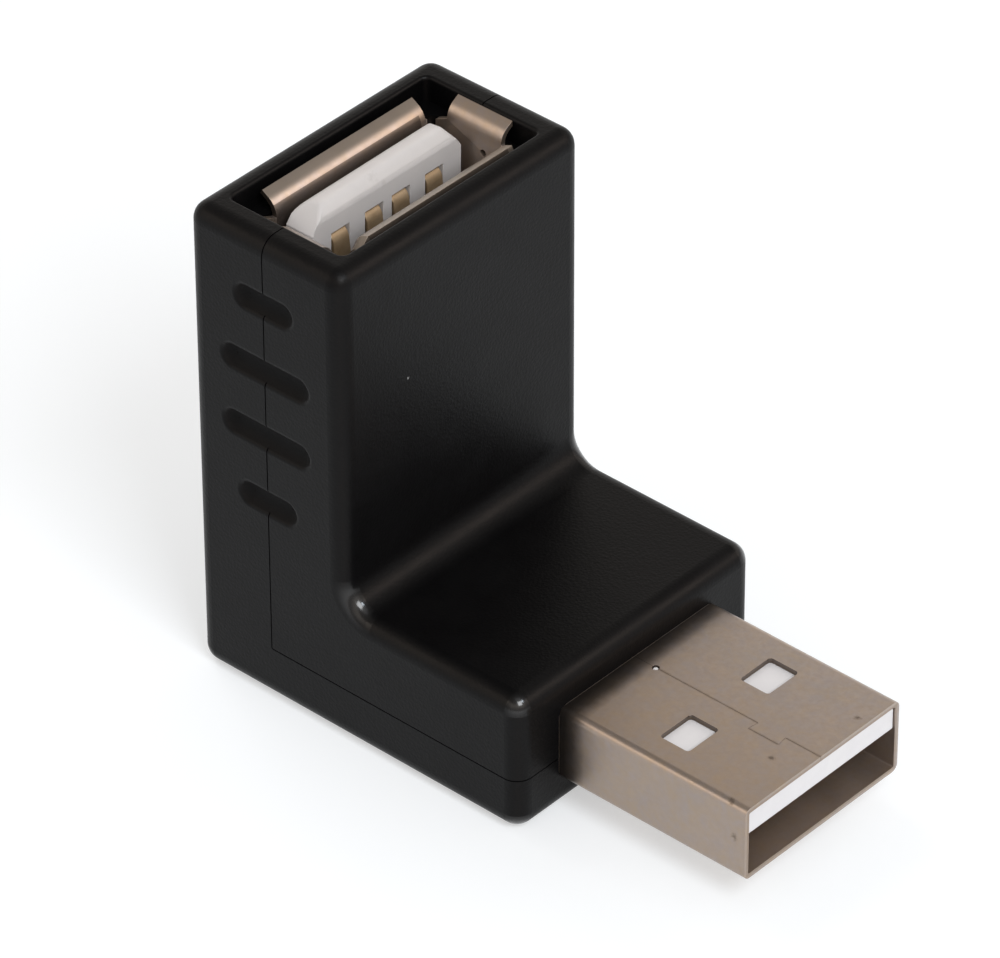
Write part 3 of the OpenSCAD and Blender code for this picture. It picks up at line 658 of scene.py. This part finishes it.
def sheet_finish(name, metallic, plain_side_y, brown_side_y):
    """Dull plated sheet: cloudy taupe, browner toward one side, hairlines, stains and seam dirt, with painted
    shade on faces that look sideways, on two lip ends, on walls high in the sheet, inside the plug's sleeve
    and, with sooty dirt, next to the housing, and a painted dim reflection on the long lips' outer flats.
    """
    material, tree, shader = new_finish(name, Metallic=metallic)
    place = tree.nodes.new("ShaderNodeTexCoord").outputs
    broad = use(tree, mottle, Scale=420.0)
    close = use(tree, mottle, Scale=2800.0, Shift=0.37)
    cast = use(tree, mottle, Scale=1300.0, Shift=0.71)
    lines = use(tree, scratches, Scale=2600.0, Share=1.0)
    # The sheet turns browner toward one side, across Y
    brown_side_share = node(tree, "ShaderNodeMapRange", {
        "From Min": plain_side_y * mm, "From Max": brown_side_y * mm, "To Max": 0.6})
    link(tree, apart(tree, place["Object"])["Y"], brown_side_share.inputs["Value"])
    sideways = unsigned(tree, apart(tree, place["Normal"])["Y"])
    upright = ramp(tree, sideways, [(0.75, 0.0), (0.95, 1.0)])
    dark = use(tree, specks, Scale=640.0, Size=0.11, Share=0.1)
    # Dark specks and stains, with painted shade on the left ends of the socket's long lips
    for mark in sheet_stains_and_shade:
        dark = combine(tree, "MAXIMUM", dark, combine(tree, "MULTIPLY", one_stain(tree, mark), stain_and_shade_share))
    soot_and_shade_mask = use(tree, soot_and_shade, Start=housing_end_x * mm, Reach=soot_and_shade_reach * mm, Lean=0.05)
    # Painted reflection: the long lips' outer flats are darkened to stand in for a dim reflection
    dull = use(tree, painted_dim_flats, Middle=stem_middle_x * mm, Start=(sleeve_half_t + dim_flat_start) * mm,
               Full=(sleeve_half_t + dim_flat_full) * mm, Lowest=lip_root_z * mm)
    inside = use(tree, inner_faces, Half_Y=(plug_half_w - sheet_t / 2) * mm,
                 Half_Z=(plug_half_h - sheet_t / 2) * mm, Middle=plug_middle_z * mm)
    wall_shade_mask = use(tree, cut_edges, Lowest=window_low_z * mm, Half=window_half_y * mm, End=window_end_x * mm)
    colour = mixed(tree, broad, plate_grey, plate_taupe)
    colour = laid_over(tree, colour, close, share=0.45, over=plate_worn)
    colour = mixed(tree, brown_side_share.outputs["Result"], colour, brown_side_colour)
    colour = tinted(tree, colour, cast, cool_tint, warm_tint)
    # Painted shade: faces of the sheet that look sideways are darkened
    colour = tinted(tree, colour, upright, plain_tint, upright_shade_tint)
    colour = mixed(tree, dark, colour, stain_and_shade_brown)
    for y, start, end in seam_runs:
        dirt = use(tree, seam_dirt, Y=y * mm, Half=seam_dirt_half * mm, From=start * mm, To=end * mm,
                   Lowest=plug_middle_z * mm)
        colour = laid_over(tree, colour, dirt, share=0.4, over=seam_brown)
    # Sooty dirt with painted shade: the sleeve darkens next to the housing's end
    colour = laid_over(tree, colour, soot_and_shade_mask, share=0.9, over=soot_and_shade_black)
    # Painted reflection: the long lips' outer flats take a darker taupe
    colour = laid_over(tree, colour, dull, share=0.85, over=dim_flat_taupe)
    # Painted shade: the faces inside the plug's sleeve are darkened and browned
    colour = laid_over(tree, colour, inside, share=0.4, over=inside_shade_brown)
    # Painted shade: faces high in the sheet that do not face up are darkened: the walls of the plug's
    # windows, hole and seam, the underside of its top, and the long walls of the socket's sleeve
    colour = laid_over(tree, colour, wall_shade_mask, share=0.7, over=wall_shade_brown)
    link(tree, colour, shader["Base Color"])
    rough = scaled(tree, broad, low=0.29, high=0.35)
    rough = raised(tree, rough, close, amount=0.04)
    rough = raised(tree, rough, dark, amount=0.2)
    link(tree, rough, shader["Roughness"])
    add_relief(tree, shader, combine(tree, "ADD", lines, close), strength=0.06, depth=0.004)
    return material


def insert_finish(name, whites):
    """White moulded insert: a little uneven between two whites, with a few grey smudges."""
    material, tree, shader = new_finish(name, Specular_IOR_Level=0.4)
    cloud = use(tree, mottle, Scale=600.0, Shift=0.21)
    dirt = use(tree, specks, Scale=900.0, Size=0.2, Share=0.06)
    dirt = combine(tree, "MULTIPLY", dirt, insert_dirt_share)
    smudge = combine(tree, "MULTIPLY", one_stain(tree, tongue_smudge), smudge_share)
    grey = combine(tree, "MAXIMUM", dirt, smudge)
    colour = mixed(tree, grey, mixed(tree, cloud, *whites), smudge_grey)
    link(tree, colour, shader["Base Color"])
    link(tree, scaled(tree, cloud, low=0.45, high=0.56), shader["Roughness"])
    add_relief(tree, shader, use(tree, moulded_grain, Scale=4200.0), strength=0.15, depth=0.008)
    return material


def contact_finish():
    """Thin gold flash on brass: dull tan with rubbed hairlines."""
    material, tree, shader = new_finish("gold_flashed_brass", Metallic=0.45)
    cloud = use(tree, mottle, Scale=1500.0, Shift=0.11)
    lines = use(tree, scratches, Scale=3500.0, Share=1.0)
    colour = mixed(tree, cloud, *contact_tans)
    colour = laid_over(tree, colour, lines, share=0.4, over=contact_rubbed)
    link(tree, colour, shader["Base Color"])
    link(tree, scaled(tree, cloud, low=0.4, high=0.52), shader["Roughness"])
    add_relief(tree, shader, lines, strength=0.15, depth=0.004)
    return material


def board_finish():
    """Green board lacquer over a glass weave."""
    material, tree, shader = new_finish("green_board_lacquer", Specular_IOR_Level=0.5)
    cloud = use(tree, mottle, Scale=700.0, Shift=0.5)
    place = tree.nodes.new("ShaderNodeTexCoord")
    threads = []
    for way in ("X", "Y"):
        thread = node(tree, "ShaderNodeTexWave", {"Scale": 900.0, "Distortion": 0.6}, bands_direction=way)
        link(tree, place.outputs["Object"], thread.inputs["Vector"])
        threads.append(thread.outputs["Fac"])
    weave = combine(tree, "MAXIMUM", *threads)
    colour = mixed(tree, cloud, *lacquer_greens)
    colour = laid_over(tree, colour, weave, share=0.25, over=thread_green)
    link(tree, colour, shader["Base Color"])
    link(tree, scaled(tree, cloud, low=0.25, high=0.4), shader["Roughness"])
    add_relief(tree, shader, weave, strength=0.2, depth=0.01)
    return material


def solder_finish():
    """Grey solder with a frosted, wrinkled skin."""
    material, tree, shader = new_finish("frosted_solder", Metallic=1.0)
    cloud = use(tree, mottle, Scale=2400.0, Shift=0.3)
    link(tree, mixed(tree, cloud, *solder_greys), shader["Base Color"])
    link(tree, scaled(tree, cloud, low=0.22, high=0.48), shader["Roughness"])
    add_relief(tree, shader, cloud, strength=0.25, depth=0.02)
    return material


finishes = {
    "housing_plastic": housing_finish(),
    "plated_sheet": sheet_finish("dull_plated_sheet", metallic=0.8, plain_side_y=6.0, brown_side_y=-6.0),
    "insulator_plastic": insert_finish("white_plug_insert", plug_whites),
    "contact_metal": contact_finish(),
    "board_laminate": board_finish(),
    "solder_metal": solder_finish(),
}
socket_sheet = sheet_finish("dull_socket_sheet", metallic=0.82, plain_side_y=-3.0, brown_side_y=7.0)
shaded_socket_insert = insert_finish("shaded_white_socket_insert", socket_shaded_whites)
slot_of = {}
for name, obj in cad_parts.items():
    slot_of[name] = obj.material_slots[0].material.name.split(".")[0]
    obj.material_slots[0].material = finishes[slot_of[name]]


# Pieces that take the place of CAD nodes, with rounded edges

def lips_as_seen(point):
    """Socket sleeve: flatter front lip, wider bend in the back one, higher right one, shorter ends."""
    x, y, z = point
    across = x - stem_middle_x
    if z > lip_root_z - hair:
        if across > long_lip_x and abs(y) < long_lip_half:
            outward = across - long_lip_x
            z += front_lip_rise - front_lip_fall * outward
            y += front_lip_short if y < 0 else 0.0
        if across < -long_lip_x and abs(y) < long_lip_half:
            turn = math.atan2(z - lip_root_z, across + sleeve_half_t + lip_bend_r)
            if turn < lip_turn + turn_slack:
                x += back_bend_growth * (math.cos(turn) - math.cos(lip_turn))
                z += back_bend_growth * (math.sin(turn) - math.sin(lip_turn))
            y += back_lip_short if y < back_lip_left_y else 0.0
        if y > short_lip_y and abs(across) < short_lip_half:
            x += right_lip_short if across < 0 else 0.0
            y += right_lip_out
            z += right_lip_rise
        if y < -short_lip_y and abs(across) < short_lip_half:
            x += left_lip_short[0] if across < 0 else left_lip_short[1]
    return Vector((x, y, z))


def front_lip_end_down(solid):
    """Turns the left end of the front lip down toward the housing."""
    everything = solid.verts[:] + solid.edges[:] + solid.faces[:]
    bmesh.ops.bisect_plane(solid, geom=everything, plane_co=(0, front_lip_end_y * mm, 0), plane_no=(0, 1, 0))
    for point in solid.verts:
        x, y, z = point.co / mm
        beyond = y < front_lip_end_y - lip_clearance
        if x - stem_middle_x > long_lip_x and beyond and z > lip_root_z + lip_clearance:
            point.co.z -= front_lip_end_drop * mm


def tongue_as_seen(point):
    """Socket insert with its tongue further to the right, a tilted ridge, lower shoulders and lower slots."""
    x, y, z = point
    depth = tongue_tip_z - z
    moved = Vector(point)
    if z > socket_floor_z + hair:
        moved.y += tongue_shift
    if depth < ridge_depth:
        moved += back_ridge_move if x < ridge_split_x else front_ridge_move
        moved.z -= left_end_drop if y < 0 else 0.0
    elif depth < shoulder_depth:
        moved.y += math.copysign(shoulder_move[0], y)
        moved.z -= shoulder_move[1]
    elif slot_top_depth[0] < depth < slot_top_depth[1]:
        moved.z -= slot_drop
    return moved


def soft_ridge(solid):
    """Rounds the edges of the tongue's tip."""
    lowest = (tongue_tip_z - soft_tip_depth) * mm
    edges = [e for e in solid.edges if min(point.co.z for point in e.verts) > lowest]
    bmesh.ops.bevel(solid, geom=edges, offset=ridge_r * mm, segments=3, profile=0.5, affect="EDGES")


def contact_as_seen(point):
    """Socket contact that follows the tongue, with its tip a little lower."""
    x, y, z = point
    if z > socket_floor_z + contact_root_rise:
        y += tongue_shift
    if z > tongue_tip_z - contact_tip_depth:
        z -= contact_drop
    return Vector((x, y, z))


def plug_sleeve_as_seen(point):
    """Plug sleeve with its seam pressed closer and its four long folds bent to a smaller radius."""
    x, y, z = point
    if z > plug_top - sheet_t - sheet_slack:
        corners = [c for c in seam_corners if math.dist(c, (x, y)) < seam_corner_reach]
        if corners:
            corner_x, corner_y = corners[0]
            x = corner_x + (x - corner_x) * seam_share
            y = corner_y + (y - corner_y) * seam_share
        elif abs(y - seam_y) < seam_reach:
            y = seam_y + (y - seam_y) * seam_share
    old_r, new_r = plug_fold_r
    side = math.copysign(1, y)
    rise = math.copysign(1, z - plug_middle_z)
    out_y = abs(y) - (plug_half_w - old_r)
    out_z = abs(z - plug_middle_z) - (plug_half_h - old_r)
    if -fold_hair < out_y < old_r + hair and out_z > -fold_hair:
        reach = math.hypot(out_y, out_z)
        pull = (reach - old_r + new_r) / reach
        y = side * (plug_half_w - new_r + out_y * pull)
        z = plug_middle_z + rise * (plug_half_h - new_r + out_z * pull)
    return Vector((x, y, z))


def seam_peg(solid):
    """Moulded peg of the plug's insert that fills the small hole in the sleeve's seam."""
    place = Matrix.Translation(Vector((seam_hole_x, seam_y, plug_top - peg_drop)) * mm)
    foot_r, top_r = peg_r
    bmesh.ops.create_cone(solid, cap_ends=True, segments=20, radius1=foot_r * mm, radius2=top_r * mm,
                          depth=peg_h * mm, matrix=place)


def softened(name, width, move=None, finish=None, shape=None):
    """New piece in place of a CAD node: its solid with points moved, more shape given and edges rounded."""
    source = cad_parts[name]
    solid = bmesh.new()
    solid.from_mesh(source.data)
    bmesh.ops.remove_doubles(solid, verts=solid.verts, dist=same_point * mm)
    bmesh.ops.dissolve_limit(solid, angle_limit=flat_angle, verts=solid.verts, edges=solid.edges)
    if move:
        for point in solid.verts:
            point.co = move(point.co / mm) * mm
    if shape:
        shape(solid)
    bmesh.ops.dissolve_degenerate(solid, dist=same_point * mm, edges=solid.edges)
    mesh = bpy.data.meshes.new(name + "_softened")
    solid.to_mesh(mesh)
    solid.free()
    mesh.shade_smooth()
    mesh.set_sharp_from_angle(angle=smooth_angle)
    mesh.materials.append(finish or finishes[slot_of[name]])
    piece = bpy.data.objects.new(name + "_softened", mesh)
    scene.collection.objects.link(piece)
    piece.matrix_world = source.matrix_world
    rounding = piece.modifiers.new("rounded_edges", "BEVEL")
    rounding.width = width * mm
    rounding.segments = 2
    rounding.limit_method = "ANGLE"
    rounding.angle_limit = edge_angle
    rounding.harden_normals = True
    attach(piece, "root")
    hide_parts(name)


softened("plug_shield", sheet_edge_r, plug_sleeve_as_seen)
softened("plug_insulator", plug_insert_edge_r, shape=seam_peg)
softened("socket_shield", sheet_edge_r, lips_as_seen, socket_sheet, front_lip_end_down)
softened("socket_insulator", socket_insert_edge_r, tongue_as_seen, shaded_socket_insert, soft_ridge)
for wire in ("power", "data_minus", "data_plus", "ground"):
    softened("socket_contact_" + wire, contact_edge_r, contact_as_seen)


# Studio

def make_floor():
    """Pale paper under the part: it keeps the shadow, and the camera and the metal see it near white."""
    mesh = bpy.data.meshes.new("floor")
    corners = [(x * floor_half, y * floor_half, 0) for x, y in ((-1, -1), (1, -1), (1, 1), (-1, 1))]
    mesh.from_pydata(corners, [], [(0, 1, 2, 3)])
    floor = bpy.data.objects.new("floor", mesh)
    scene.collection.objects.link(floor)
    floor.location.z = -floor_gap * mm
    material = bpy.data.materials.new("white_paper")
    material.use_nodes = True
    tree = material.node_tree
    tree.nodes.clear()
    matte = node(tree, "ShaderNodeBsdfDiffuse", {"Color": paper})
    lit = node(tree, "ShaderNodeBsdfDiffuse", {"Color": paper_seen})
    glow = node(tree, "ShaderNodeEmission", {"Color": (1, 1, 1, 1), "Strength": paper_glow})
    both = node(tree, "ShaderNodeAddShader")
    path = node(tree, "ShaderNodeLightPath")
    mirrored = combine(tree, "MAXIMUM", path.outputs["Is Glossy Ray"], path.outputs["Is Transmission Ray"])
    seen = combine(tree, "MAXIMUM", path.outputs["Is Camera Ray"], mirrored)
    mix = node(tree, "ShaderNodeMixShader")
    out = node(tree, "ShaderNodeOutputMaterial")
    link(tree, lit.outputs[0], both.inputs[0])
    link(tree, glow.outputs[0], both.inputs[1])
    link(tree, seen, mix.inputs[0])
    link(tree, matte.outputs[0], mix.inputs[1])
    link(tree, both.outputs[0], mix.inputs[2])
    link(tree, mix.outputs[0], out.inputs["Surface"])
    mesh.materials.append(material)


def make_world():
    """Sky that is white at the horizon, dim above it, warm and bright halfway up, and dim overhead."""
    world = bpy.data.worlds.new("studio")
    scene.world = world
    world.use_nodes = True
    tree = world.node_tree
    tree.nodes.clear()
    place = node(tree, "ShaderNodeTexCoord")
    height = apart(tree, place.outputs["Generated"])["Z"]
    sky = node(tree, "ShaderNodeBackground", {"Strength": 1.0})
    link(tree, ramp(tree, height, sky_bands), sky.inputs["Color"])
    out = node(tree, "ShaderNodeOutputWorld")
    link(tree, sky.outputs[0], out.inputs["Surface"])


def softbox(name, azimuth, elevation, distance, size, watts, colour):
    """Square or oblong lamp that faces the part from a direction, its distance and size in metres."""
    lamp = bpy.data.lights.new(name, "AREA")
    lamp.shape = "RECTANGLE"
    lamp.size, lamp.size_y = size
    lamp.energy = watts
    lamp.color = colour
    holder = bpy.data.objects.new(name, lamp)
    scene.collection.objects.link(holder)
    toward = direction(azimuth, elevation)
    holder.location = toward * distance
    holder.rotation_mode = "QUATERNION"
    holder.rotation_quaternion = toward.to_track_quat("Z", "Y")
    holder.visible_camera = False
    return holder


make_camera()
make_floor()
make_world()

softbox("overhead", azimuth=62, elevation=70, distance=0.6, size=(0.3, 0.3), watts=0.12,
        colour=(0.98, 0.985, 1.0))
softbox("key", azimuth=68, elevation=48, distance=0.5, size=(0.2, 0.2), watts=1.2,
        colour=(0.96, 0.98, 1.0))
back_fill = softbox("back_fill", azimuth=-100, elevation=50, distance=0.6, size=(0.3, 0.3), watts=0.65,
                    colour=(1.0, 0.98, 0.96))
back_fill.visible_glossy = False

# Windows and cards that only the metal and the polished corners mirror
mirrored_lamps = [
    softbox("back_window", azimuth=132, elevation=30, distance=0.5, size=(0.16, 0.24), watts=0.36,
            colour=(1.0, 0.83, 0.73)),
    softbox("left_window", azimuth=-38, elevation=25, distance=0.5, size=(0.2, 0.34), watts=0.27,
            colour=(1.0, 0.87, 0.74)),
    softbox("back_card", azimuth=232, elevation=12, distance=0.5, size=(0.5, 0.14), watts=0.18,
            colour=(1.0, 0.96, 0.92)),
    softbox("glint", azimuth=98, elevation=52, distance=0.5, size=(0.09, 0.09), watts=0.45,
            colour=(0.82, 0.91, 1.0)),
]
for lamp in mirrored_lamps:
    lamp.visible_diffuse = False

scene.view_settings.view_transform = "Standard"
